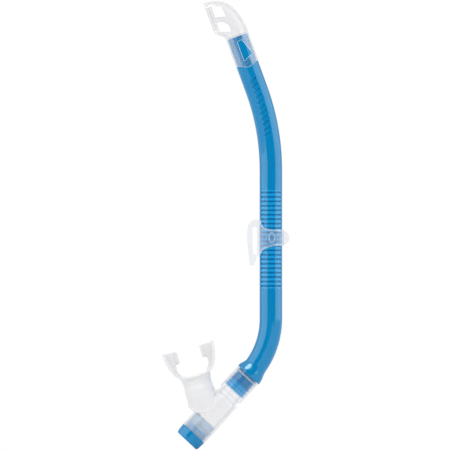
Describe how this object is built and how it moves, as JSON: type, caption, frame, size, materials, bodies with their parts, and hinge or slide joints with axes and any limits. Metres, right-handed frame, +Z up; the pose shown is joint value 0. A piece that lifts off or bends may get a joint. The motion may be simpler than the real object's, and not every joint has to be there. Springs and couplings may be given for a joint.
{
  "type": "snorkel tube",
  "caption": "Swimmer's snorkel: bent barrel with a ribbed grip, clear splash guard, sliding strap keeper, swivelling drain chamber, soft mouthpiece and purge valve.",
  "frame": {"origin": "middle of the keeper's flat strap seat, inside the hook", "axes": "+Z up along the barrel's straight stretch, -X out of the strap seat towards the mouthpiece side, Y across the snorkel"},
  "size_m": [0.1236, 0.0306, 0.4348],
  "materials": {
    "blue_plastic": "glossy, slightly see-through PVC",
    "clear_plastic": "clear polycarbonate",
    "clear_keeper": "clear flexible polyurethane",
    "seal_rubber": "grey-blue silicone",
    "clear_silicone": "clear soft silicone",
    "pale_blue_plastic": "glossy"
  },
  "bodies": {
    "barrel": {"main_tube": "blue_plastic", "splash_guard": "clear_plastic", "swivel_o_ring": "seal_rubber"},
    "keeper": {"strap_keeper": "clear_keeper"},
    "chamber": {"drain_chamber": "clear_plastic", "mouthpiece": "clear_silicone", "purge_seat": "pale_blue_plastic", "purge_cap": "blue_plastic"},
    "membrane": {"purge_membrane": "clear_silicone"}
  },
  "joints": [
    {"name": "keeper_slide", "type": "slide", "parent": "barrel", "child": "keeper", "axis": [0, 0, 1], "range_m": [-0.028, 0.027]},
    {"name": "chamber_swivel", "type": "hinge", "parent": "barrel", "child": "chamber", "pos_m": [-0.01584, 0, -0.13857], "axis": [-0.682, 0, -0.7314], "continuous": true},
    {"name": "membrane_lift", "type": "slide", "parent": "chamber", "child": "membrane", "axis": [-0.682, 0, -0.7314], "range_m": [0, 0.0015]}
  ]
}
